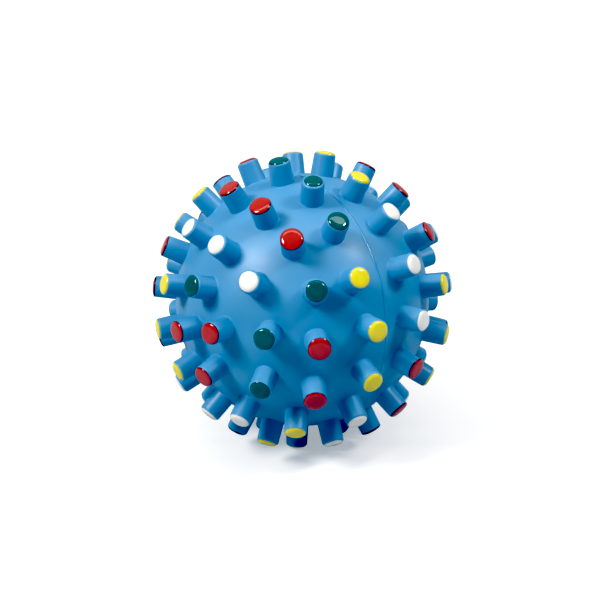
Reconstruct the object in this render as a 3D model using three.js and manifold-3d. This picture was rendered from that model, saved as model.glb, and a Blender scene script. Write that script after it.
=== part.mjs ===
// A hollow vinyl squeeze ball with painted pegs and a squeaker, standing on four of its pegs.
// Millimetres, +Z up. The origin is the ball's centre. The two halves of its mould met at
// x = 0, so the mould's axis is X: one peg stands at the -X pole, the squeaker at the +X pole.
import * as THREE from 'three';
import { mergeVertices } from 'three/addons/utils/BufferGeometryUtils.js';
import Module from 'manifold-3d';

const wasm = await Module();
wasm.setup();

// Ball
const bodyRadius = 42;
const wall = 2.4;
const bodySides = 36;
const hollowSides = 24;

// Pegs, which are solid vinyl because so narrow a hollow fills up in the mould
const pegHeight = 7;
const pegRootRadius = 3.9;
const pegEndRadius = 3.5;
const pegSides = 10;

// Paint drops on the peg ends
const dropInset = 0.3;
const dropEdge = 0.25;
const dropCrown = 0.45;
const dropBulge = 0.55;

// Gap between pieces that are pressed together or bonded
const fitGap = 0.3;

// Squeaker, a flanged tube that snaps into a hole at the +X pole
const boreRadius = 3.6;
const tubeWall = 1.4;
const neckStep = 0.8;
const flangeLip = 1.8;
const flangeThickness = 1.6;
const flangeChamfer = 0.4;
const barbLip = 1.4;
const barbLength = 2.6;
const seatMargin = 1.2;
const tubeMargin = 1;
const tubeSides = 20;

// Reed and the two half-round blocks that hold it in the squeaker's bore
const reedWidth = 3.6;
const reedThickness = 0.25;
const reedFree = 8.5;
const reedHeld = 3;
const blockInset = 1.2;
const blockLength = 15;
const clampLength = 6;
const channelWidth = 2.2;
const channelDepth = 1.6;
const channelEndWall = 1.5;
const blockArcSteps = 10;

// Rows of pegs around the mould's axis, each at an angle from its half's pole
const poleRow = 19.5;
const innerRow = 39;
const outerRow = 59;
const waistRow = 79;
const waistPegs = 17;

// A row's pegs are evenly spaced. Its first peg is turned by start from straight down
// towards -Y, and paint gives the colours in order: red, yellow, green or white.
// A few pegs stray from their even place by [angle, turn]. All angles are in degrees.
const plainHalf = [
  {
    angle: poleRow,
    start: 43,
    paint: 'RRGYYY',
    stray: { 0: [-0.5, -3.5], 1: [-1.5, 0], 4: [1, 3.5] },
  },
  { angle: innerRow, start: 0, paint: 'WWGGWWWRRRW', stray: { 1: [1.5, -2.5], 5: [-2, 0] } },
  {
    angle: outerRow,
    start: -4.5,
    paint: 'GYYRRGRRRYYYGWW',
    stray: { 4: [-1, 1], 5: [1, 0.5], 7: [-1.5, -2], 8: [-1.5, -3] },
  },
  {
    angle: waistRow,
    start: 180 / waistPegs,
    paint: 'WWWYYYGGGRRRWWYYG',
    stray: { 1: [0, 4], 2: [0, 3], 3: [0, 2], 4: [0.5, 1], 5: [-3, 0], 6: [-2, 1] },
  },
];
const squeakerHalf = [
  {
    angle: waistRow,
    start: 180 / waistPegs,
    paint: 'GRRRWWWYYYGGGRRWG',
    stray: { 3: [1.5, 2], 7: [2.5, -3] },
  },
  { angle: outerRow, start: 9, paint: 'WWYYYRRRWGGWWYR', stray: { 3: [-4, -1.5] } },
  { angle: innerRow, start: 3.5, paint: 'YWRWWWWRRGY' },
  { angle: poleRow, start: 7.5, paint: 'RWWWRG' },
];

// Distances from the ball's centre that follow from the sizes above
const hollowRadius = bodyRadius - wall;
const pegEnd = bodyRadius + pegHeight;
const dropRadius = pegEndRadius - dropInset;
const tubeRadius = boreRadius + tubeWall;
const neckRadius = tubeRadius + neckStep;
const flangeRadius = neckRadius + flangeLip;
const barbRadius = neckRadius + barbLip;
const holeRadius = neckRadius + fitGap;
const seatRadius = flangeRadius + seatMargin;
const seatFace = Math.sqrt(bodyRadius ** 2 - seatRadius ** 2);
const seatBack = Math.sqrt(hollowRadius ** 2 - seatRadius ** 2);
const flangeFace = seatFace + fitGap + flangeThickness;
const blockFace = flangeFace - blockInset;
const blockBack = blockFace - blockLength;
const clampBack = blockFace - clampLength;
const tubeBack = blockBack - tubeMargin;
const blockRadius = boreRadius - fitGap;
const blockFlat = reedThickness / 2 + fitGap;

const upright = new THREE.Vector3(0, 1, 0);
const alongX = new THREE.Matrix4().makeRotationZ(-Math.PI / 2);
const sectionAlongX = new THREE.Matrix4().makeBasis(
  new THREE.Vector3(0, 1, 0),
  new THREE.Vector3(0, 0, 1),
  new THREE.Vector3(1, 0, 0),
);

function finish(color, roughness, metalness = 0) {
  return new THREE.MeshStandardMaterial({ color, roughness, metalness });
}

const blueVinyl = finish('#3f8fce', 0.42);
const whitePlastic = finish('#e9e6dc', 0.5);
const brass = finish('#c9a24a', 0.35, 1);
const paints = {
  R: finish('#b3131f', 0.2),
  Y: finish('#e6dc1e', 0.22),
  G: finish('#06545c', 0.2),
  W: finish('#f4f5f4', 0.25),
};

// A closed geometry with its shared corners merged and its flat triangles dropped
function welded(geometry) {
  const bare = geometry.clone();
  bare.deleteAttribute('normal');
  bare.deleteAttribute('uv');
  const merged = mergeVertices(bare);
  const corners = merged.index.array;
  const kept = [];
  for (let i = 0; i < corners.length; i += 3) {
    const [a, b, c] = corners.subarray(i, i + 3);
    if (a !== b && b !== c && c !== a) kept.push(a, b, c);
  }
  merged.setIndex(kept);
  return merged;
}

function toSolid(geometry) {
  const closed = welded(geometry);
  return new wasm.Manifold(new wasm.Mesh({
    numProp: 3,
    vertProperties: new Float32Array(closed.attributes.position.array),
    triVerts: new Uint32Array(closed.index.array),
  }));
}

function toGeometry(solid) {
  const mesh = solid.getMesh();
  const geometry = new THREE.BufferGeometry();
  geometry.setAttribute('position', new THREE.BufferAttribute(mesh.vertProperties, 3));
  geometry.setIndex(new THREE.BufferAttribute(mesh.triVerts, 1));
  geometry.computeVertexNormals();
  return geometry;
}

function named(name, geometry, material) {
  const mesh = new THREE.Mesh(geometry, material);
  mesh.name = name;
  return mesh;
}

// A turned shape from [radius, distance along the axis] points, with its axis along +Y
function turned(points, sides) {
  return new THREE.LatheGeometry(points.map(([r, y]) => new THREE.Vector2(r, y)), sides);
}

function cylinderAlongX(radius, from, to, sides) {
  const length = to - from;
  const geometry = new THREE.CylinderGeometry(radius, radius, length, sides);
  return geometry.applyMatrix4(alongX).translate(from + length / 2, 0, 0);
}

// Direction of a peg from its angle off the -X pole and its turn from straight down to -Y
function pegDirection(angle, turn) {
  const a = THREE.MathUtils.degToRad(angle);
  const t = THREE.MathUtils.degToRad(turn);
  return new THREE.Vector3(-Math.cos(a), -Math.sin(a) * Math.sin(t), -Math.sin(a) * Math.cos(t));
}

// The pegs of one row, with their directions and colours
function rowPegs(row, poleAngle) {
  const step = 360 / row.paint.length;
  return [...row.paint].map((colour, i) => {
    const [strayAngle, strayTurn] = row.stray?.[i] ?? [0, 0];
    const fromPole = Math.abs(poleAngle - row.angle - strayAngle);
    const turn = row.start + i * step + strayTurn;
    return { colour, turnNumber: i + 1, direction: pegDirection(fromPole, turn) };
  });
}

// How a thing made along +Y turns to stand along a peg
function standOn(peg) {
  return new THREE.Quaternion().setFromUnitVectors(upright, peg.direction);
}

function alongPeg(geometry, peg) {
  return geometry.clone().applyQuaternion(standOn(peg));
}

// Outline of a paint drop whose foot lies at the given distance from the ball's centre
function dropOutline(foot) {
  const edge = pegEnd + fitGap + dropEdge;
  return [
    [dropRadius, foot],
    [dropRadius, edge],
    [dropRadius * dropBulge, edge + dropCrown * (1 - dropBulge ** 2)],
    [0, edge + dropCrown],
  ];
}

function dropGeometry() {
  const foot = pegEnd + fitGap;
  return turned([[0, foot], ...dropOutline(foot)], pegSides);
}

// A peg starts inside the wall. A bare one ends flat, a painted one carries its own drop.
function pegGeometry(painted) {
  const foot = bodyRadius - wall / 2;
  const end = painted ? dropOutline(pegEnd).slice(1) : [[0, pegEnd]];
  return turned([[0, foot], [pegRootRadius, foot], [pegEndRadius, pegEnd], ...end], pegSides);
}

// The one-piece moulding: hollow ball, pegs, and a flat seat with a hole for the squeaker
function ballShell(barePegs, paintedPegs) {
  const reach = pegEnd + pegHeight;
  const ball = new THREE.SphereGeometry(bodyRadius, bodySides, bodySides / 2);
  const hollow = new THREE.SphereGeometry(hollowRadius, hollowSides, hollowSides / 2);
  const flat = cylinderAlongX(seatRadius + seatMargin, seatFace, reach, tubeSides);
  const seat = cylinderAlongX(seatRadius, seatBack, seatFace, tubeSides);
  const hole = cylinderAlongX(holeRadius, 0, reach, tubeSides);
  let shell = toSolid(ball.applyMatrix4(alongX)).subtract(toSolid(flat));
  for (const peg of barePegs) {
    shell = shell.add(toSolid(alongPeg(pegGeometry(false), peg)));
  }
  for (const peg of paintedPegs) {
    shell = shell.add(toSolid(alongPeg(pegGeometry(true), peg)));
  }
  shell = shell.subtract(toSolid(hollow.applyMatrix4(alongX)));
  shell = shell.add(toSolid(seat)).subtract(toSolid(hole));
  return toGeometry(shell);
}

// Flange outside, neck in the hole, barb behind the seat and a tube reaching into the ball
function squeakerBody() {
  const neckFront = seatFace + fitGap;
  const neckBack = seatBack - fitGap;
  const barbBack = neckBack - barbLength;
  const outline = [
    [boreRadius, tubeBack],
    [tubeRadius, tubeBack],
    [tubeRadius, barbBack],
    [barbRadius, neckBack],
    [neckRadius, neckBack],
    [neckRadius, neckFront],
    [flangeRadius, neckFront],
    [flangeRadius, flangeFace - flangeChamfer],
    [flangeRadius - flangeChamfer, flangeFace],
    [boreRadius, flangeFace],
    [boreRadius, tubeBack],
  ];
  return turned(outline, tubeSides).applyMatrix4(alongX);
}

// A half-round block under or over the reed, from its back to the blocks' outer face
function halfRound(back, above) {
  const flat = above ? blockFlat : -blockFlat;
  const half = Math.sqrt(blockRadius ** 2 - blockFlat ** 2);
  const lean = Math.asin(flat / blockRadius);
  const section = new THREE.Shape();
  section.moveTo(-half, flat);
  section.absarc(0, 0, blockRadius, Math.PI - lean, lean, above);
  section.closePath();
  const depth = blockFace - back;
  const options = { depth, bevelEnabled: false, curveSegments: blockArcSteps };
  return new THREE.ExtrudeGeometry(section, options).applyMatrix4(sectionAlongX).translate(back, 0, 0);
}

// The lower block has an air channel that the reed covers, open at the outer face
function reedBlock() {
  const back = blockBack + channelEndWall;
  const reach = blockFace + blockLength;
  const channel = new THREE.BoxGeometry(reach - back, channelWidth, 2 * channelDepth);
  channel.translate((reach + back) / 2, 0, -blockFlat);
  return toGeometry(toSolid(halfRound(blockBack, false)).subtract(toSolid(channel)));
}

// A flat tongue held between the blocks, free towards the inside of the ball
function reedTongue() {
  const front = clampBack + reedHeld;
  const back = clampBack - reedFree;
  return new THREE.BoxGeometry(front - back, reedWidth, reedThickness).translate((front + back) / 2, 0, 0);
}

const polePeg = { colour: 'R', direction: pegDirection(0, 0), name: 'tip_pole' };
const plainPegs = [polePeg];
for (const [i, row] of plainHalf.entries()) {
  for (const peg of rowPegs(row, 0)) {
    plainPegs.push({ ...peg, name: `tip_row${i + 1}_${peg.turnNumber}` });
  }
}
const squeakerPegs = squeakerHalf.flatMap((row) => rowPegs(row, 180));

const ball = new THREE.Group();
ball.add(named('ball_shell', ballShell(plainPegs, squeakerPegs), blueVinyl));
for (const peg of plainPegs) {
  const drop = named(peg.name, dropGeometry(), paints[peg.colour]);
  drop.quaternion.copy(standOn(peg));
  ball.add(drop);
}

const squeaker = new THREE.Group();
squeaker.add(named('squeaker_body', squeakerBody(), whitePlastic));
squeaker.add(named('reed_block', reedBlock(), whitePlastic));
squeaker.add(named('reed_clamp', halfRound(clampBack, true), whitePlastic));
squeaker.add(named('reed', reedTongue(), brass));
ball.add(squeaker);

export default ball;
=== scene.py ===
# %% [markdown]
# A squeeze ball of soft blue vinyl, covered in blunt pegs with painted ends, stands on four of
# its pegs. Its far side carries a squeaker. This lesson dresses the imported CAD model: the model
# gives every place and size, and the cells below give the round forms, the paint and the light.
# The frame is loaded first, because every piece rides on one of its bodies.

# %% Load the imported frame
import math
import random

import bmesh
import bpy
import numpy as np
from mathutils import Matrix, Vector


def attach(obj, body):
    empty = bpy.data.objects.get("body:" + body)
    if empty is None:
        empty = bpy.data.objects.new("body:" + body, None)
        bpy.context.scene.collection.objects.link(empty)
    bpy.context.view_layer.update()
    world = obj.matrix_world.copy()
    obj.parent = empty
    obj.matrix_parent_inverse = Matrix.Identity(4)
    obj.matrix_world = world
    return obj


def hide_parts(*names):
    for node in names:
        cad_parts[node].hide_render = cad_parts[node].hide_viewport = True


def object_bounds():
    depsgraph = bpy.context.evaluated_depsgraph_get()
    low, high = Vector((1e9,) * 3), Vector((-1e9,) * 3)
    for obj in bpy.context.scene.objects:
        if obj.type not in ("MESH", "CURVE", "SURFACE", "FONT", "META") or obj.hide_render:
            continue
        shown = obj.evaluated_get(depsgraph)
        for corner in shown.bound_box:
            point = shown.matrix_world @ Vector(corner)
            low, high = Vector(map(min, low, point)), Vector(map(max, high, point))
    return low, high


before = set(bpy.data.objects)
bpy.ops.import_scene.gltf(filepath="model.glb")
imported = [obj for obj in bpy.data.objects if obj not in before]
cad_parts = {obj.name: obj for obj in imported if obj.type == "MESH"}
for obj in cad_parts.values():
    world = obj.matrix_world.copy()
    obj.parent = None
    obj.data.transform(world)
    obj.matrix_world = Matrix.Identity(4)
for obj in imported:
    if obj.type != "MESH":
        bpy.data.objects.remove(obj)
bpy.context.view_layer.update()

MM = 0.001

# %% [markdown]
# The ball was cast in a mould of two halves that met in the plane x = 0, so its pegs stand in
# rows around the X axis. One peg stands on the -X pole, the squeaker sits on the +X pole. A row
# is given by its angle from its own pole, by the turn of its first peg and by the colours of its
# pegs in order. Some pegs stray from their even places, by a few degrees of angle and of turn.
# These are the same numbers as in the CAD model, since a piece that stands for a CAD node has to
# be where that node is.

# %% Sizes of the ball and places of its pegs
BALL_RADIUS = 42 * MM
WALL = 2.4 * MM
PEG_END = 49.3 * MM
PEG_ROOT_RADIUS = 3.75 * MM
PEG_END_RADIUS = 3.52 * MM

POLE_ROW, INNER_ROW, OUTER_ROW, WAIST_ROW = 19.5, 39, 59, 79
WAIST_START = 180 / 17
PLAIN_HALF = [
    (POLE_ROW, 43, "RRGYYY", {0: (-0.5, -3.5), 1: (-1.5, 0), 4: (1, 3.5)}),
    (INNER_ROW, 0, "WWGGWWWRRRW", {1: (1.5, -2.5), 5: (-2, 0)}),
    (OUTER_ROW, -4.5, "GYYRRGRRRYYYGWW",
     {4: (-1, 1), 5: (1, 0.5), 7: (-1.5, -2), 8: (-1.5, -3)}),
    (WAIST_ROW, WAIST_START, "WWWYYYGGGRRRWWYYG",
     {1: (0, 4), 2: (0, 3), 3: (0, 2), 4: (0.5, 1), 5: (-3, 0), 6: (-2, 1)}),
]
SQUEAKER_HALF = [
    (WAIST_ROW, WAIST_START, "GRRRWWWYYYGGGRRWG", {3: (1.5, 2), 7: (2.5, -3)}),
    (OUTER_ROW, 9, "WWYYYRRRWGGWWYR", {3: (-4, -1.5)}),
    (INNER_ROW, 3.5, "YWRWWWWRRGY", {}),
    (POLE_ROW, 7.5, "RWWWRG", {}),
]


def peg_direction(angle, turn):
    """Direction of a peg from its angle off the -X pole and its turn from straight down to -Y."""
    a, t = math.radians(angle), math.radians(turn)
    return Vector((-math.cos(a), -math.sin(a) * math.sin(t), -math.sin(a) * math.cos(t)))


def row_pegs(row, pole_angle):
    """The number, colour and direction of each peg in one row."""
    angle, start, paint, stray = row
    for i, colour in enumerate(paint):
        stray_angle, stray_turn = stray.get(i, (0, 0))
        turn = start + i * 360 / len(paint) + stray_turn
        yield i + 1, colour, peg_direction(abs(pole_angle - angle - stray_angle), turn)


pegs = [("drop_pole", "tip_pole", "R", peg_direction(0, 0))]
for number, row in enumerate(PLAIN_HALF, 1):
    for place, colour, direction in row_pegs(row, 0):
        pegs.append((f"drop_row{number}_{place}", f"tip_row{number}_{place}", colour, direction))
for number, row in enumerate(SQUEAKER_HALF, len(PLAIN_HALF) + 1):
    for place, colour, direction in row_pegs(row, 180):
        pegs.append((f"drop_row{number}_{place}", None, colour, direction))
directions = np.array([direction for *_, direction in pegs])
print("pegs:", len(pegs), "with a CAD drop:", sum(node is not None for _, node, _, _ in pegs))

# %% [markdown]
# Round pieces are all begun in the same way: a circle is added at its size and place, and its
# ring is extruded and scaled step by step along the axis, as a potter pulls up a wall. Two small
# helpers do that. A third one selects the edges of a ring by their place, because operators
# such as bevel act on whatever is selected. The last two leave one piece selected by itself and
# find how high a ring lies on the ball.

# %% Helpers that grow a round piece ring by ring
UP = Vector((0, 0, 1))
HAIR = 0.01 * MM


def start_ring(name, corners, radius, height):
    """A new circle in edit mode, all of it selected."""
    bpy.ops.object.select_all(action="DESELECT")
    bpy.ops.mesh.primitive_circle_add(vertices=corners, radius=radius, location=(0, 0, height))
    bpy.ops.object.transform_apply(location=True, rotation=True, scale=True)
    piece = bpy.context.object
    piece.name = piece.data.name = name
    bpy.ops.object.mode_set(mode="EDIT")
    bpy.ops.mesh.select_mode(type="EDGE")
    bpy.ops.mesh.select_all(action="SELECT")
    return piece


def grow_rings(profile):
    """Extrudes the selected ring through (radius, height) pairs, the first being where it is."""
    for (radius, height), (next_radius, next_height) in zip(profile, profile[1:]):
        rise = {"value": (0, 0, next_height - height)}
        bpy.ops.mesh.extrude_region_move(TRANSFORM_OT_translate=rise)
        scale = next_radius / radius
        bpy.ops.transform.resize(value=(scale, scale, 1), center_override=(0, 0, next_height))


def select_ring(piece, radius, height):
    """Selects the edges of the ring with this radius and height, and nothing else."""
    bpy.ops.mesh.select_all(action="DESELECT")
    mesh = bmesh.from_edit_mesh(piece.data)
    for edge in mesh.edges:
        ends = [vert.co for vert in edge.verts]
        level = all(abs(end.z - height) < HAIR for end in ends)
        if level and all(abs(math.hypot(end.x, end.y) - radius) < HAIR for end in ends):
            edge.select_set(True)
    bmesh.update_edit_mesh(piece.data)


def alone(piece):
    """Back to object mode with this piece as the only selected one."""
    if bpy.context.mode != "OBJECT":
        bpy.ops.object.mode_set(mode="OBJECT")
    bpy.ops.object.select_all(action="DESELECT")
    piece.select_set(True)
    bpy.context.view_layer.objects.active = piece


def on_sphere(radius, sphere=BALL_RADIUS):
    """Height at which a ring of this radius lies on a sphere around the origin."""
    return math.sqrt(sphere**2 - radius**2)


# %% [markdown]
# A peg is a short blunt cylinder that narrows a little, so that it slips out of the mould. Its
# root runs into the ball in a small fillet, and its end has a rounded edge. It could be a boolean
# union of a cylinder and the ball, but then the fillet would have to be made 99 times on a ragged
# seam. Instead one peg is modelled with a skirt that lies on the ball: the corner at its root and
# the edge of its end are bevelled, and the skirt's rim is sewn to the ball later. The end reaches
# 0.3 mm into the drop of paint, which lies around it, so no gap shows between the two.

# %% Model one peg, standing on the +Z pole of the ball
PEG_CORNERS = 40
SKIRT_RADIUS = 4.5 * MM
ROOT_FILLET = 0.25 * MM
END_ROUNDING = 0.7 * MM

peg_profile = [
    (SKIRT_RADIUS, on_sphere(SKIRT_RADIUS)),
    (PEG_ROOT_RADIUS, on_sphere(PEG_ROOT_RADIUS)),
    (PEG_END_RADIUS, PEG_END),
]
peg = start_ring("peg", PEG_CORNERS, *peg_profile[0])
grow_rings(peg_profile)
bpy.ops.mesh.edge_face_add()
select_ring(peg, *peg_profile[1])
bpy.ops.mesh.bevel(offset=ROOT_FILLET, segments=4, profile=0.5, affect="EDGES")
select_ring(peg, *peg_profile[2])
bpy.ops.mesh.bevel(offset=END_ROUNDING, segments=5, profile=0.5, affect="EDGES")
alone(peg)
print("peg:", len(peg.data.vertices), "vertices")

# %% [markdown]
# The skin of the ball starts as an icosphere, whose triangles are nearly all of one size, so it
# has no poles that would pinch the shine. A round opening is made in it under each peg: the
# vertices there are deleted, and those left along the ragged edge are moved onto a circle.

# %% Cut a round opening for each peg into the skin of the ball
CUT_RADIUS = 4.7 * MM
OPENING_RADIUS = 5.2 * MM

bpy.ops.object.select_all(action="DESELECT")
bpy.ops.mesh.primitive_ico_sphere_add(subdivisions=6, radius=BALL_RADIUS)
ball = bpy.context.object
ball.name = ball.data.name = "vinyl_ball"
bpy.ops.object.mode_set(mode="EDIT")
bpy.ops.mesh.select_mode(type="VERT")
bpy.ops.mesh.select_all(action="DESELECT")
skin = bmesh.from_edit_mesh(ball.data)
points = np.array([vert.co for vert in skin.verts]) / BALL_RADIUS
in_opening = (points @ directions.T).max(axis=1) > math.cos(CUT_RADIUS / BALL_RADIUS)
for vert, inside in zip(skin.verts, in_opening):
    if inside:
        vert.select_set(True)
bmesh.update_edit_mesh(ball.data)
bpy.ops.mesh.delete(type="VERT")

skin = bmesh.from_edit_mesh(ball.data)
rise = on_sphere(OPENING_RADIUS)
for vert in skin.verts:
    if vert.is_boundary:
        axis = Vector(directions[np.argmax(directions @ np.array(vert.co))])
        outward = vert.co - axis * vert.co.dot(axis)
        vert.co = axis * rise + outward.normalized() * OPENING_RADIUS
bmesh.update_edit_mesh(ball.data)
bpy.ops.object.mode_set(mode="OBJECT")
print("skin:", len(ball.data.vertices), "vertices after cutting", int(in_opening.sum()))

# %% [markdown]
# The skin is sewn to the pegs in two steps, which is quicker than working on the whole mesh. A
# bare ring as wide as a peg's skirt goes into each opening, and the gap between them is bridged.
# Then copies of the peg that was modelled are joined on, each turned from the pole to its own
# direction. Their skirts end exactly on the rings, so merging by distance leaves one surface, as
# on the real casting.

# %% Sew the pegs to the skin


def copies_on_pegs(piece):
    """One copy of the piece for each peg, with a mesh of its own. The piece itself goes."""
    copies = []
    for _, _, _, direction in pegs:
        copy = bpy.data.objects.new(piece.name, piece.data.copy())
        copy.data.transform(UP.rotation_difference(direction).to_matrix().to_4x4())
        bpy.context.collection.objects.link(copy)
        copies.append(copy)
    bpy.data.objects.remove(piece)
    return copies


def join_to_ball(parts):
    """Joins the parts to the ball and opens it in edit mode."""
    alone(ball)
    for part in parts:
        part.select_set(True)
    bpy.ops.object.join()
    bpy.ops.object.mode_set(mode="EDIT")
    bpy.ops.mesh.select_mode(type="EDGE")


ring = start_ring("ring", PEG_CORNERS, *peg_profile[0])
alone(ring)
join_to_ball(copies_on_pegs(ring))
skin = bmesh.from_edit_mesh(ball.data)
gaps = [[] for _ in pegs]
for edge in skin.edges:
    if len(edge.link_faces) < 2:
        middle = np.array(edge.verts[0].co + edge.verts[1].co)
        gaps[np.argmax(directions @ middle)].append(edge.index)
for gap in gaps:
    bpy.ops.mesh.select_all(action="DESELECT")
    skin = bmesh.from_edit_mesh(ball.data)
    skin.edges.ensure_lookup_table()
    for index in gap:
        skin.edges[index].select_set(True)
    bpy.ops.mesh.bridge_edge_loops()

join_to_ball(copies_on_pegs(peg))
bpy.ops.mesh.select_all(action="SELECT")
bpy.ops.mesh.remove_doubles(threshold=HAIR)
bpy.ops.object.mode_set(mode="OBJECT")
print("skin with pegs:", len(ball.data.polygons), "faces")

# %% [markdown]
# At the +X pole the ball has a flat seat with a hole, into which the squeaker snaps. The cap of
# the skin is sliced off there with a bisect. A smaller sphere, sliced in the same way, lines the
# shell from inside, so that the wall has its real thickness.

# %% Slice the skin for the squeaker's seat and line it
HOLLOW_RADIUS = BALL_RADIUS - WALL
SEAT_RADIUS = 8.8 * MM
SEAT_FACE = on_sphere(SEAT_RADIUS)
SEAT_BACK = on_sphere(SEAT_RADIUS, HOLLOW_RADIUS)


def slice_cap(piece, plane):
    """Slices off the cap that stands beyond the plane x = plane, and none of the pegs."""
    alone(piece)
    bpy.ops.object.mode_set(mode="EDIT")
    bpy.ops.mesh.select_mode(type="FACE")
    bpy.ops.mesh.select_all(action="DESELECT")
    mesh = bmesh.from_edit_mesh(piece.data)
    for vert in mesh.verts:
        if vert.co.x > plane and math.hypot(vert.co.y, vert.co.z) < SEAT_RADIUS:
            for face in vert.link_faces:
                face.select_set(True)
    bmesh.update_edit_mesh(piece.data)
    flat = {"plane_co": (plane, 0, 0), "plane_no": (1, 0, 0), "threshold": HAIR}
    bpy.ops.mesh.bisect(clear_outer=True, **flat)
    bpy.ops.mesh.remove_doubles(threshold=5 * HAIR)
    bpy.ops.object.mode_set(mode="OBJECT")


slice_cap(ball, SEAT_FACE)
bpy.ops.object.select_all(action="DESELECT")
bpy.ops.mesh.primitive_ico_sphere_add(subdivisions=5, radius=HOLLOW_RADIUS)
lining = bpy.context.object
slice_cap(lining, SEAT_BACK)
print("seat:", round(SEAT_FACE / MM, 2), "mm outside,", round(SEAT_BACK / MM, 2), "mm inside")

# %% [markdown]
# A collar through the hole joins the skin to its lining, and the flat ring between each cut and
# the collar's rim is filled. Bridging the two would be a mistake here: they are flat and share a
# centre, so a bridge can pair them the wrong way and run across the hole. Now the whole shell is
# one closed surface, and its normals can be recalculated at once.

# %% Close the shell around the hole
HOLE_RADIUS = 6.1 * MM
COLLAR_CORNERS = 48
TO_PLUS_X = UP.rotation_difference(Vector((1, 0, 0))).to_matrix().to_4x4()

collar_profile = [(HOLE_RADIUS, SEAT_FACE), (HOLE_RADIUS, SEAT_BACK)]
collar = start_ring("collar", COLLAR_CORNERS, *collar_profile[0])
grow_rings(collar_profile)
alone(collar)
collar.data.transform(TO_PLUS_X)

join_to_ball([lining, collar])
for plane in (SEAT_FACE, SEAT_BACK):
    bpy.ops.mesh.select_all(action="DESELECT")
    mesh = bmesh.from_edit_mesh(ball.data)
    for edge in mesh.edges:
        if edge.is_boundary and all(abs(vert.co.x - plane) < 2 * HAIR for vert in edge.verts):
            edge.select_set(True)
    bmesh.update_edit_mesh(ball.data)
    bpy.ops.mesh.fill(use_beauty=True)
bpy.ops.mesh.select_all(action="SELECT")
bpy.ops.mesh.normals_make_consistent(inside=False)
mesh = bmesh.from_edit_mesh(ball.data)
print("shell: open or bad edges", sum(not edge.is_manifold for edge in mesh.edges))
bpy.ops.object.mode_set(mode="OBJECT")

# %% [markdown]
# Where the two halves of the mould met, a thin line of flash runs round the ball. It could be a
# bump in the material, but a raised line catches the light by its shape, so it is a slim torus
# sunk to its middle into the skin. It is stretched sideways to a low, wide ridge and swells and
# fades along its length, because a mould never closes equally tightly all round.

# %% Lay the mould line around the ball
SEAM_HEIGHT = 0.13 * MM
SEAM_WIDTH = 0.9 * MM
SEAM_SWELL = 10 * MM
SEAM_UNEVENNESS = 0.8

bpy.ops.object.select_all(action="DESELECT")
bpy.ops.mesh.primitive_torus_add(
    rotation=(0, math.pi / 2, 0), major_segments=256, minor_segments=16,
    major_radius=BALL_RADIUS, minor_radius=SEAM_HEIGHT,
)
seam = bpy.context.object
seam.name = seam.data.name = "mould_line"
bpy.ops.object.transform_apply(location=True, rotation=True, scale=True)
bpy.ops.object.mode_set(mode="EDIT")
bpy.ops.mesh.select_all(action="SELECT")
widening = SEAM_WIDTH / (2 * SEAM_HEIGHT)
bpy.ops.transform.resize(value=(widening, 1, 1), center_override=(0, 0, 0))
bpy.ops.object.mode_set(mode="OBJECT")
swell = bpy.data.textures.new("seam_swell", "CLOUDS")
swell.noise_scale = SEAM_SWELL
displace = seam.modifiers.new("swell", "DISPLACE")
displace.texture = swell
displace.texture_coords = "LOCAL"
displace.strength = SEAM_UNEVENNESS * SEAM_HEIGHT
bpy.ops.object.modifier_apply(modifier="swell")
bpy.ops.object.shade_smooth()
print("mould line:", len(seam.data.polygons), "faces")

# %% [markdown]
# The paint was dabbed on, so each peg's end carries a low drop like a cap: it wraps over the
# rounded edge of the end, and its middle is nearly flat. One drop is grown ring by ring, and its
# last ring is filled and poked to a centre.

# %% Model one drop of paint
DROP_CORNERS = 32
DROP_PEAK = 0.005 * MM
drop_profile = [
    (3.36 * MM, 48.90 * MM),
    (3.46 * MM, 48.97 * MM),
    (3.50 * MM, 49.08 * MM),
    (3.45 * MM, 49.21 * MM),
    (3.34 * MM, 49.36 * MM),
    (3.18 * MM, 49.52 * MM),
    (3.00 * MM, 49.65 * MM),
    (2.76 * MM, 49.77 * MM),
    (2.45 * MM, 49.87 * MM),
    (2.00 * MM, 49.945 * MM),
    (1.55 * MM, 49.967 * MM),
    (1.10 * MM, 49.983 * MM),
    (0.60 * MM, 49.995 * MM),
]
drop = start_ring("drop", DROP_CORNERS, *drop_profile[0])
bpy.ops.mesh.edge_face_add()
select_ring(drop, *drop_profile[0])
grow_rings(drop_profile)
bpy.ops.mesh.edge_face_add()
bpy.ops.mesh.poke(offset=DROP_PEAK)
bpy.ops.mesh.select_all(action="SELECT")
bpy.ops.mesh.normals_make_consistent(inside=False)
bpy.ops.object.mode_set(mode="OBJECT")
bpy.ops.object.shade_smooth_by_angle(angle=math.radians(60))
print("drop:", len(drop.data.polygons), "faces")

# %% [markdown]
# No two dabs of paint are alike. Every copy of the drop gets its own size, a slight shift and an
# edge that isn't quite round, since waves of two, three and five lobes run around it. Thin red
# paint spread farther than thick white, and two pegs got a small dab. The random numbers are
# seeded, so that each run makes the same ball.

# %% Put a drop on every peg
PAINT_NAMES = {"R": "red", "Y": "yellow", "G": "green", "W": "white"}
PAINT_SPREADS = {"R": 1.0, "Y": 0.93, "G": 0.95, "W": 0.91}
SMALL_DABS = {"drop_row4_8": 0.88, "drop_row4_10": 0.86}
SPREAD_RANGE = (0.97, 1.03)
RISE_RANGE = (0.85, 1)
MOST_SHIFT = 0.1 * MM
LOBE_COUNTS = (2, 3, 5)
LOBE_SIZE = 0.014

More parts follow.
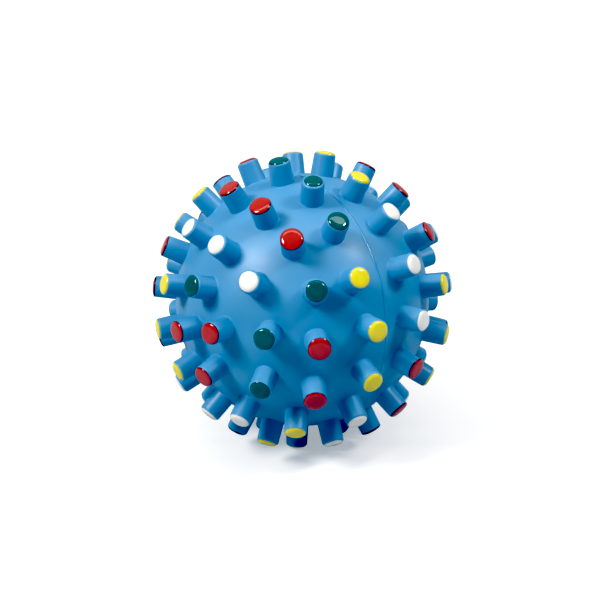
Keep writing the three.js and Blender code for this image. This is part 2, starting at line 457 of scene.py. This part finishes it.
dab = random.Random(11)
drops = []
for name, node, colour, direction in pegs:
    spread = PAINT_SPREADS[colour] * dab.uniform(*SPREAD_RANGE) * SMALL_DABS.get(name, 1)
    rise = dab.uniform(*RISE_RANGE)
    shift_x = dab.uniform(-MOST_SHIFT, MOST_SHIFT)
    shift_y = dab.uniform(-MOST_SHIFT, MOST_SHIFT)
    lobes = [(n, dab.uniform(0, LOBE_SIZE), dab.uniform(0, math.tau)) for n in LOBE_COUNTS]
    mesh = drop.data.copy()
    for vert in mesh.vertices:
        turn = math.atan2(vert.co.y, vert.co.x)
        edge = spread * (1 + sum(size * math.sin(n * turn + phase) for n, size, phase in lobes))
        vert.co.x = vert.co.x * edge + shift_x
        vert.co.y = vert.co.y * edge + shift_y
        vert.co.z = PEG_END + (vert.co.z - PEG_END) * rise
    mesh.transform(UP.rotation_difference(direction).to_matrix().to_4x4())
    piece = bpy.data.objects.new(name, mesh)
    bpy.context.collection.objects.link(piece)
    drops.append((piece, node, PAINT_NAMES[colour]))
bpy.data.objects.remove(drop)
print("drops:", len(drops))

# %% [markdown]
# The squeaker is a flanged tube of milky polyethylene, pushed through the hole until its barb
# snaps behind the wall. It is turned like the peg: rings run along the outside from the tube's
# inner end to the flange and back into the bore, and the first and last ring are bridged to close
# the wall. Its sharp edges are bevelled, since moulded plastic has none.

# %% Turn the squeaker's tube
TUBE_CORNERS = 64
FIT_GAP = 0.3 * MM
BORE_RADIUS = 3.6 * MM
TUBE_RADIUS = 5.0 * MM
NECK_RADIUS = HOLE_RADIUS - FIT_GAP
BARB_RADIUS = 7.2 * MM
BARB_LENGTH = 2.6 * MM
FLANGE_RADIUS = 7.6 * MM
FLANGE_THICKNESS = 1.6 * MM
BLOCK_RECESS = 1.2 * MM
BLOCK_LENGTH = 15 * MM
TUBE_OVERHANG = 1 * MM
CREASE = math.radians(40)

FLANGE_FACE = SEAT_FACE + FIT_GAP + FLANGE_THICKNESS
BLOCK_FACE = FLANGE_FACE - BLOCK_RECESS
BLOCK_BACK = BLOCK_FACE - BLOCK_LENGTH
TUBE_BACK = BLOCK_BACK - TUBE_OVERHANG
NECK_BACK = SEAT_BACK - FIT_GAP

inner_end = (TUBE_RADIUS, TUBE_BACK)
barb_edge = (BARB_RADIUS, NECK_BACK)
flange_foot = (FLANGE_RADIUS, SEAT_FACE)
flange_rim = (FLANGE_RADIUS, FLANGE_FACE)
mouth = (BORE_RADIUS, FLANGE_FACE)
tube_profile = [
    (BORE_RADIUS, TUBE_BACK),
    inner_end,
    (TUBE_RADIUS, NECK_BACK - BARB_LENGTH),
    barb_edge,
    (NECK_RADIUS, NECK_BACK),
    (NECK_RADIUS, SEAT_FACE),
    flange_foot,
    flange_rim,
    mouth,
]
tube_roundings = {
    flange_rim: 0.7 * MM,
    mouth: 0.4 * MM,
    flange_foot: 0.2 * MM,
    barb_edge: 0.2 * MM,
    inner_end: 0.3 * MM,
}
tube = start_ring("squeaker_tube", TUBE_CORNERS, *tube_profile[0])
grow_rings(tube_profile)
bpy.ops.mesh.select_all(action="DESELECT")
mesh = bmesh.from_edit_mesh(tube.data)
for edge in mesh.edges:
    edge.select_set(edge.is_boundary)
bmesh.update_edit_mesh(tube.data)
bpy.ops.mesh.bridge_edge_loops()
for (radius, height), rounding in tube_roundings.items():
    select_ring(tube, radius, height)
    bpy.ops.mesh.bevel(offset=rounding, segments=4, profile=0.5, affect="EDGES")
bpy.ops.mesh.select_all(action="SELECT")
bpy.ops.mesh.normals_make_consistent(inside=False)
alone(tube)
tube.data.transform(TO_PLUS_X)
bpy.ops.object.shade_smooth_by_angle(angle=CREASE)
print("squeaker tube:", len(tube.data.polygons), "faces")

# %% [markdown]
# Inside the tube, two half-round blocks hold the reed. Each starts as a cylinder that is bisected
# along the flat on which the reed lies. The longer one, below, has an air channel under the reed,
# cut with a boolean, because its end is closed inside the block. A bevel modifier takes the
# sharpness off all edges.

# %% Cut the two half-round blocks
REED_THICKNESS = 0.25 * MM
BLOCK_RADIUS = BORE_RADIUS - FIT_GAP
BLOCK_FLAT = REED_THICKNESS / 2 + FIT_GAP
BLOCK_EASING = 0.15 * MM
CLAMP_LENGTH = 6 * MM
CHANNEL_WIDTH = 2.2 * MM
CHANNEL_DEPTH = 1.6 * MM
CHANNEL_STOP = 1.5 * MM
CUTTER_OVERRUN = 5 * MM
CLAMP_BACK = BLOCK_FACE - CLAMP_LENGTH
CHANNEL_BACK = BLOCK_BACK + CHANNEL_STOP
CUTTER_FRONT = BLOCK_FACE + CUTTER_OVERRUN


def half_round(name, back, side):
    """A half-round block from its back to the blocks' face, on the upper (1) or lower (-1) side."""
    bpy.ops.object.select_all(action="DESELECT")
    bpy.ops.mesh.primitive_cylinder_add(
        vertices=TUBE_CORNERS, radius=BLOCK_RADIUS, depth=BLOCK_FACE - back,
        location=((BLOCK_FACE + back) / 2, 0, 0), rotation=(0, math.pi / 2, 0),
    )
    bpy.ops.object.transform_apply(location=True, rotation=True, scale=True)
    piece = bpy.context.object
    piece.name = piece.data.name = name
    bpy.ops.object.mode_set(mode="EDIT")
    bpy.ops.mesh.select_all(action="SELECT")
    flat = {"plane_co": (0, 0, side * BLOCK_FLAT), "plane_no": (0, 0, side), "threshold": HAIR}
    bpy.ops.mesh.bisect(use_fill=True, clear_inner=True, **flat)
    bpy.ops.object.mode_set(mode="OBJECT")
    return piece


def take_off_edges(piece, width):
    """Bevels every edge of the piece that turns sharply, then smooths what is round."""
    alone(piece)
    bevel = piece.modifiers.new("edges", "BEVEL")
    bevel.width = width
    bevel.segments = 3
    bevel.angle_limit = CREASE
    bpy.ops.object.modifier_apply(modifier="edges")
    bpy.ops.object.shade_smooth_by_angle(angle=CREASE)


block = half_round("reed_block_half", BLOCK_BACK, -1)
clamp = half_round("reed_clamp_half", CLAMP_BACK, 1)
bpy.ops.object.select_all(action="DESELECT")
bpy.ops.mesh.primitive_cube_add(
    size=1, location=((CUTTER_FRONT + CHANNEL_BACK) / 2, 0, -BLOCK_FLAT),
    scale=(CUTTER_FRONT - CHANNEL_BACK, CHANNEL_WIDTH, 2 * CHANNEL_DEPTH),
)
cutter = bpy.context.object
alone(block)
channel = block.modifiers.new("channel", "BOOLEAN")
channel.object = cutter
bpy.ops.object.modifier_apply(modifier="channel")
bpy.data.objects.remove(cutter)
take_off_edges(block, BLOCK_EASING)
take_off_edges(clamp, BLOCK_EASING)
print("blocks:", len(block.data.polygons), "and", len(clamp.data.polygons), "faces")

# %% [markdown]
# The reed is the one piece that moves: a tongue of thin brass strip, pinched at its outer end,
# that flutters over the channel and makes the sound. A cube is scaled to the strip, the corners
# of its free end are rounded with a bevel on the upright edges, and all edges are eased.

# %% Stamp the reed
REED_WIDTH = 3.6 * MM
REED_HELD = 3 * MM
REED_FREE = 8.5 * MM
REED_CORNER = 0.9 * MM
REED_EASING = 0.04 * MM
REED_FRONT = CLAMP_BACK + REED_HELD
REED_BACK = CLAMP_BACK - REED_FREE

bpy.ops.object.select_all(action="DESELECT")
bpy.ops.mesh.primitive_cube_add(
    size=1, location=((REED_FRONT + REED_BACK) / 2, 0, 0),
    scale=(REED_FRONT - REED_BACK, REED_WIDTH, REED_THICKNESS),
)
bpy.ops.object.transform_apply(location=True, rotation=True, scale=True)
reed = bpy.context.object
reed.name = reed.data.name = "reed_tongue"
bpy.ops.object.mode_set(mode="EDIT")
bpy.ops.mesh.select_mode(type="EDGE")
bpy.ops.mesh.select_all(action="DESELECT")
mesh = bmesh.from_edit_mesh(reed.data)
for edge in mesh.edges:
    ends = [vert.co for vert in edge.verts]
    if all(end.x < CLAMP_BACK for end in ends) and abs(ends[0].z - ends[1].z) > HAIR:
        edge.select_set(True)
bmesh.update_edit_mesh(reed.data)
bpy.ops.mesh.bevel(offset=REED_CORNER, segments=6, profile=0.5, affect="EDGES")
bpy.ops.object.mode_set(mode="OBJECT")
take_off_edges(reed, REED_EASING)
print("reed:", len(reed.data.polygons), "faces")

# %% [markdown]
# Every piece is tied to the frame: to the body it moves with, and the CAD node it stands for is
# hidden. The table also gives a finish of the record, which nothing here reads. Only the reed moves
# by itself.

# %% Tie the pieces to the frame
alone(ball)
bpy.ops.object.shade_smooth_by_angle(angle=math.radians(50))
skin_and_squeaker = (
    (ball, "ball", "blue_vinyl", ["ball_shell"]),
    (seam, "ball", "blue_vinyl", []),
    (tube, "ball", "squeaker_plastic", ["squeaker_body"]),
    (block, "ball", "squeaker_plastic", ["reed_block"]),
    (clamp, "ball", "squeaker_plastic", ["reed_clamp"]),
    (reed, "reed", "reed_brass", ["reed"]),
)
for piece, body, slot, nodes in skin_and_squeaker:
    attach(piece, body)
    if nodes:
        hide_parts(*nodes)
for piece, node, paint in drops:
    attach(piece, "ball")
    if node:
        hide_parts(node)
print("tied:", len(drops) + len(skin_and_squeaker), "pieces")

# %% [markdown]
# Materials are node trees. One function adds a node, sets it and links it, and one turns the sRGB
# hex values that a colour picker shows into the linear numbers that the shader works with. All
# patterns read Object coordinates, which are metres here, so a noise that should repeat about
# every 12 mm has a scale of one over 0.012. A Mix node has one set of sockets for numbers and
# another for colours, under the same names, so these are called by their places in its list.

# %% Helpers for materials
COLOUR_A, COLOUR_B, MIXED_COLOUR = 6, 7, 2
NUMBER_A, NUMBER_B, MIXED_NUMBER = 2, 3, 0


def linear(code):
    """A linear colour from an sRGB hex code."""
    parts = [int(code[i:i + 2], 16) / 255 for i in (1, 3, 5)]
    return [p / 12.92 if p <= 0.04045 else ((p + 0.055) / 1.055) ** 2.4 for p in parts] + [1]


def add(tree, kind, inputs=(), **settings):
    """Adds a node with its settings. An input given as a socket is linked, others are set."""
    node = tree.nodes.new(kind)
    for name, value in settings.items():
        setattr(node, name, value)
    for name, value in dict(inputs).items():
        if isinstance(value, bpy.types.NodeSocket):
            tree.links.new(value, node.inputs[name])
        else:
            node.inputs[name].default_value = value
    return node


def new_material(name):
    """An empty material and its node tree, with its place in space as the first node."""
    material = bpy.data.materials.new(name)
    material.use_nodes = True
    material.node_tree.nodes.clear()
    place = add(material.node_tree, "ShaderNodeTexCoord").outputs["Object"]
    return material, material.node_tree, place


def per(millimetres):
    """Noise scale for features of this size."""
    return 1 / (millimetres * MM)


# %% [markdown]
# Soft PVC is cast in a smooth metal mould, so it has a satin skin: a broad soft shine under a
# faint clearer one, a little uneven where the skin touched the mould less closely. The pigment is
# a strong blue. Slight clouds in its colour, about 15 mm across, come from the plastic flowing in
# the turning mould. The skin's real grain is finer than a tenth of a millimetre, too fine to show,
# so its bump is drawn at 0.9 mm and very low. The flash of the mould line formed between the
# polished faces where the halves met, so it is the same vinyl with a glossier skin. One function
# makes both.

# %% Blue vinyl


def soft_pvc(name, smooth, rough):
    """Blue vinyl whose skin is between this smooth and this rough."""
    vinyl, tree, place = new_material(name)
    clouds = add(tree, "ShaderNodeTexNoise", {"Vector": place, "Scale": per(15), "Detail": 3})
    pigment = add(tree, "ShaderNodeMix", {
        "Factor": clouds.outputs["Fac"], COLOUR_A: linear("#5C8FB9"), COLOUR_B: linear("#6595BF"),
    }, data_type="RGBA")
    patches = add(tree, "ShaderNodeTexNoise", {"Vector": place, "Scale": per(8), "Detail": 2})
    satin = add(tree, "ShaderNodeMapRange", {
        "Value": patches.outputs["Fac"], "From Min": 0.3, "From Max": 0.7,
        "To Min": smooth, "To Max": rough,
    })
    grain = add(tree, "ShaderNodeTexNoise", {"Vector": place, "Scale": per(0.9), "Detail": 2})
    bump = add(tree, "ShaderNodeBump", {
        "Height": grain.outputs["Fac"], "Strength": 0.12, "Distance": 0.05 * MM,
    })
    skin = add(tree, "ShaderNodeBsdfPrincipled", {
        "Base Color": pigment.outputs[MIXED_COLOUR], "Roughness": satin.outputs["Result"],
        "Normal": bump.outputs["Normal"], "IOR": 1.53, "Coat Weight": 0.08, "Coat Roughness": 0.22,
    })
    add(tree, "ShaderNodeOutputMaterial", {"Surface": skin.outputs["BSDF"]})
    return vinyl


for piece, vinyl in (
    (ball, soft_pvc("soft_pvc_blue", 0.46, 0.54)),
    (seam, soft_pvc("soft_pvc_flash", 0.2, 0.26)),
):
    piece.data.materials.clear()
    piece.data.materials.append(vinyl)
    print(vinyl.name, "on", piece.name)

# %% [markdown]
# The drops are enamel, a paint that levels out while it dries and so ends in a hard gloss with
# crisp reflections. It isn't perfectly even: the colour is deeper where the coat is thicker, in
# patches of about 2 mm, and the surface keeps a trace of orange peel, drawn at 1.2 mm. Along the
# rim, where the edge of a drop turns away from the light, the colour is darkened as painted shade.
# The rim is found by its distance from the ball's centre, since it lies lower than the middle of a
# drop.

# %% Four colours of enamel
RIM_SHADE_LOW = 49.3 * MM
RIM_SHADE_HIGH = 49.68 * MM


def enamel(name, deep, thin, rim_shade):
    """Glossy paint: its colour in a thick coat, in a thin one, and as painted shade along the edge
    of a drop.
    """
    paint, tree, place = new_material(name)
    coat = add(tree, "ShaderNodeTexNoise", {"Vector": place, "Scale": per(2), "Detail": 2})
    colour = add(tree, "ShaderNodeMix", {
        "Factor": coat.outputs["Fac"], COLOUR_A: linear(deep), COLOUR_B: linear(thin),
    }, data_type="RGBA")
    # A mask for the rim of the drop, where the colour is darkened as painted shade.
    height = add(tree, "ShaderNodeVectorMath", {0: place}, operation="LENGTH")
    inside = add(tree, "ShaderNodeMapRange", {
        "Value": height.outputs["Value"], "From Min": RIM_SHADE_LOW, "From Max": RIM_SHADE_HIGH,
    }, interpolation_type="SMOOTHSTEP")
    blend = add(tree, "ShaderNodeMix", {
        "Factor": inside.outputs["Result"],
        COLOUR_A: linear(rim_shade), COLOUR_B: colour.outputs[MIXED_COLOUR],
    }, data_type="RGBA")
    peel = add(tree, "ShaderNodeTexNoise", {"Vector": place, "Scale": per(1.2), "Detail": 1})
    bump = add(tree, "ShaderNodeBump", {
        "Height": peel.outputs["Fac"], "Strength": 0.05, "Distance": 0.05 * MM,
    })
    gloss = add(tree, "ShaderNodeMapRange", {
        "Value": coat.outputs["Fac"], "From Min": 0.3, "From Max": 0.7,
        "To Min": 0.05, "To Max": 0.1,
    })
    shine = add(tree, "ShaderNodeBsdfPrincipled", {
        "Base Color": blend.outputs[MIXED_COLOUR], "Roughness": gloss.outputs["Result"],
        "Normal": bump.outputs["Normal"], "IOR": 1.5,
    })
    add(tree, "ShaderNodeOutputMaterial", {"Surface": shine.outputs["BSDF"]})
    return paint


# The third colour of each enamel is painted shade for the rim of its drops.
enamels = {
    "red": enamel("enamel_red", "#A83D23", "#B64527", "#541A14"),
    "yellow": enamel("enamel_yellow", "#DCCF2C", "#E4D734", "#CABD28"),
    "green": enamel("enamel_green", "#285953", "#2E645D", "#245049"),
    "white": enamel("enamel_white", "#E5E4E1", "#EBEAE7", "#DADBDA"),
}
for piece, _, paint in drops:
    piece.data.materials.clear()
    piece.data.materials.append(enamels[paint])
print("enamels:", [material.name for material in enamels.values()])

# %% [markdown]
# The squeaker's tube and blocks are moulded polyethylene: milky, waxy and a little see-through,
# which a touch of subsurface scattering gives. Its flow left faint clouds of about 5 mm, and fine
# scuffs, drawn at 0.7 mm so that they can show, break up its soft shine.

# %% Polyethylene
milky, tree, place = new_material("polyethylene_milky")
flow = add(tree, "ShaderNodeTexNoise", {"Vector": place, "Scale": per(5), "Detail": 3})
wax = add(tree, "ShaderNodeMix", {
    "Factor": flow.outputs["Fac"], COLOUR_A: linear("#DAD8CE"), COLOUR_B: linear("#EAE8E0"),
}, data_type="RGBA")
scuff = add(tree, "ShaderNodeTexNoise", {"Vector": place, "Scale": per(0.7), "Detail": 2})
bump = add(tree, "ShaderNodeBump", {
    "Height": scuff.outputs["Fac"], "Strength": 0.15, "Distance": 0.05 * MM,
})
matt = add(tree, "ShaderNodeMapRange", {
    "Value": flow.outputs["Fac"], "From Min": 0.3, "From Max": 0.7, "To Min": 0.38, "To Max": 0.5,
})
shade = add(tree, "ShaderNodeBsdfPrincipled", {
    "Base Color": wax.outputs[MIXED_COLOUR], "Roughness": matt.outputs["Result"],
    "Normal": bump.outputs["Normal"], "IOR": 1.51,
    "Subsurface Weight": 0.2, "Subsurface Scale": 1 * MM,
})
add(tree, "ShaderNodeOutputMaterial", {"Surface": shade.outputs["BSDF"]})
for piece in (tube, block, clamp):
    piece.data.materials.clear()
    piece.data.materials.append(milky)
print("squeaker moulded in", milky.name)

# %% [markdown]
# The reed is brass strip. Rolling left fine lines along it, which are drawn at 0.3 mm so that they
# can show, and air has tarnished it a little, in patches of about 3 mm.

# %% Brass
brass, tree, place = new_material("brass_rolled")
stretch = add(tree, "ShaderNodeMapping", {"Vector": place, "Scale": (0.05, 1, 1)})
lines = add(tree, "ShaderNodeTexNoise", {
    "Vector": stretch.outputs["Vector"], "Scale": per(0.3), "Detail": 2,
})
tarnish = add(tree, "ShaderNodeTexNoise", {"Vector": place, "Scale": per(3), "Detail": 3})
tone = add(tree, "ShaderNodeMix", {
    "Factor": tarnish.outputs["Fac"], COLOUR_A: linear("#B48A3C"), COLOUR_B: linear("#D8B266"),
}, data_type="RGBA")
rolled = add(tree, "ShaderNodeMapRange", {
    "Value": lines.outputs["Fac"], "From Min": 0.3, "From Max": 0.7, "To Min": 0.25, "To Max": 0.42,
})
metal = add(tree, "ShaderNodeBsdfPrincipled", {
    "Base Color": tone.outputs[MIXED_COLOUR], "Roughness": rolled.outputs["Result"], "Metallic": 1,
})
add(tree, "ShaderNodeOutputMaterial", {"Surface": metal.outputs["BSDF"]})
reed.data.materials.clear()
reed.data.materials.append(brass)
print("reed stamped from", brass.name)

# %% [markdown]
# The ball stands on a sheet of matt paper. It is pale to the camera, but throws back less light
# than white paper would, because the undersides of the ball are deep in shade. The Light Path node
# tells the camera's rays from all others, and a glow for these alone lifts the paper to white, so
# that only a soft shadow shows on it.

# %% Paper floor
FLOOR_SIZE = 12
FLOOR_GLOW = 0.42

visual_low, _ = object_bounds()
bpy.ops.object.select_all(action="DESELECT")
bpy.ops.mesh.primitive_plane_add(size=FLOOR_SIZE, location=(0, 0, visual_low.z))
floor = bpy.context.object
floor.name = "floor"
paper, tree, place = new_material("paper_floor")
fibre = add(tree, "ShaderNodeTexNoise", {"Vector": place, "Scale": per(40), "Detail": 2})
sheet = add(tree, "ShaderNodeMix", {
    "Factor": fibre.outputs["Fac"], COLOUR_A: linear("#D2D2D2"), COLOUR_B: linear("#D6D6D6"),
}, data_type="RGBA")
seen = add(tree, "ShaderNodeLightPath").outputs["Is Camera Ray"]
tone = add(tree, "ShaderNodeMix", {
    "Factor": seen, COLOUR_A: linear("#BCBCBC"), COLOUR_B: sheet.outputs[MIXED_COLOUR],
}, data_type="RGBA")
lift = add(tree, "ShaderNodeMath", {0: seen, 1: FLOOR_GLOW}, operation="MULTIPLY")
flat = add(tree, "ShaderNodeBsdfPrincipled", {
    "Base Color": tone.outputs[MIXED_COLOUR], "Roughness": 0.9, "Specular IOR Level": 0.1,
    "Emission Color": (1, 1, 1, 1), "Emission Strength": lift.outputs["Value"],
})
add(tree, "ShaderNodeOutputMaterial", {"Surface": flat.outputs["BSDF"]})
floor.data.materials.append(paper)
print("floor at", round(visual_low.z / MM, 2), "mm")

# %% [markdown]
# A large soft box on the left is the main light, a smaller one on the right draws the second of
# the two highlights on each drop of paint, and a wide strip hangs overhead. A weak fill comes from
# the front and is kept out of reflections. All of them are placed by their angles from the camera.

# %% Soft boxes
AZIMUTH = math.radians(-37.92)
LIGHT_DISTANCE = 8


def soft_box(name, place, size, power):
    """A square or oblong area light at a place in metres, aimed at the ball."""
    bpy.ops.object.light_add(type="AREA", location=place)
    box = bpy.context.object
    box.name = name
    box.data.shape = "RECTANGLE"
    box.data.size, box.data.size_y = size
    box.data.energy = power
    box.rotation_mode = "QUATERNION"
    box.rotation_quaternion = (-Vector(place)).to_track_quat("-Z", "Y")
    return box


def around(turn, height, distance):
    """A place seen from the ball: degrees to the right of the camera, degrees up, and metres."""
    azimuth, elevation = AZIMUTH + math.radians(turn), math.radians(height)
    back = (math.sin(azimuth) * math.cos(elevation), -math.cos(azimuth) * math.cos(elevation),
            math.sin(elevation))
    return Vector(back) * distance


soft_box("left_box", around(-60, 42, LIGHT_DISTANCE), (2.5, 2.0), 570)
soft_box("right_box", around(72, 47, LIGHT_DISTANCE), (1.6, 1.6), 315)
soft_box("top_box", around(0, 83, LIGHT_DISTANCE), (10, 1.5), 228)
fill = soft_box("front_box", around(5, 55, LIGHT_DISTANCE), (6, 3), 66)
fill.visible_glossy = False

# %% [markdown]
# The world is a dim room with a pale backdrop behind the ball and a faint ceiling, which give the
# skin its soft edges of light. The camera sees it white, like the paper. The view has a small
# black level, strongest in red and weakest in blue, which turns the shade to a pure deep blue.

# %% World and view
BACKDROP_NEAR = 0.05
BACKDROP_FAR = 0.6
CEILING = 0.05
SEEN_WHITE = 1.4
BLACK_LEVEL = (0.12, 0.071, 0.025)

world = bpy.data.worlds.new("studio")
bpy.context.scene.world = world
world.use_nodes = True
tree = world.node_tree
tree.nodes.clear()
ray = add(tree, "ShaderNodeTexCoord").outputs["Generated"]
away = (-math.sin(AZIMUTH), math.cos(AZIMUTH), 0)
depth = add(tree, "ShaderNodeVectorMath", {0: ray, 1: away}, operation="DOT_PRODUCT")
backdrop = add(tree, "ShaderNodeMapRange", {
    "Value": depth.outputs["Value"], "From Min": -0.1, "From Max": 0.6,
    "To Min": BACKDROP_NEAR, "To Max": BACKDROP_FAR,
}, interpolation_type="SMOOTHSTEP")
up = add(tree, "ShaderNodeSeparateXYZ", {"Vector": ray})
ceiling = add(tree, "ShaderNodeMapRange", {
    "Value": up.outputs["Z"], "From Min": 0.3, "From Max": 0.9,
    "To Min": 0, "To Max": CEILING,
}, interpolation_type="SMOOTHSTEP")
glow = add(tree, "ShaderNodeMath", {0: backdrop.outputs["Result"], 1: ceiling.outputs["Result"]})
seen = add(tree, "ShaderNodeLightPath").outputs["Is Camera Ray"]
tone = add(tree, "ShaderNodeMix", {
    "Factor": seen, NUMBER_A: glow.outputs["Value"], NUMBER_B: SEEN_WHITE,
})
sky = add(tree, "ShaderNodeBackground", {"Strength": tone.outputs[MIXED_NUMBER]})
add(tree, "ShaderNodeOutputWorld", {"Surface": sky.outputs["Background"]})
view = bpy.context.scene.view_settings
view.view_transform = "Standard"
view.use_curve_mapping = True
view.curve_mapping.black_level = BLACK_LEVEL
view.curve_mapping.update()
print("world:", world.name, "with black level", BLACK_LEVEL)

# %% [markdown]
# The camera looks down on the ball from the side of its plain pole. Its angles and distance were
# worked out from the places of the pegs in the photograph. The lens follows from the width of the
# frame: a focal length of 1138 pixels on a frame of 600.

# %% Camera
FRAME = 600
FOCAL = 1138
BALL_AT = (302.4, 299.4)
ELEVATION = 19.47
CAMERA_DISTANCE = 380.4 * MM
SENSOR_WIDTH = 36

bpy.ops.object.camera_add(location=around(0, ELEVATION, CAMERA_DISTANCE))
camera = bpy.context.object
camera.rotation_mode = "QUATERNION"
camera.rotation_quaternion = (-camera.location).to_track_quat("-Z", "Y")
camera.data.sensor_width = SENSOR_WIDTH
camera.data.lens = FOCAL / FRAME * SENSOR_WIDTH
camera.data.shift_x = (FRAME / 2 - BALL_AT[0]) / FRAME
camera.data.shift_y = (BALL_AT[1] - FRAME / 2) / FRAME
camera.data.clip_start = 10 * MM
bpy.context.scene.camera = camera
print("lens:", round(camera.data.lens, 1), "mm at", [round(c, 3) for c in camera.location])
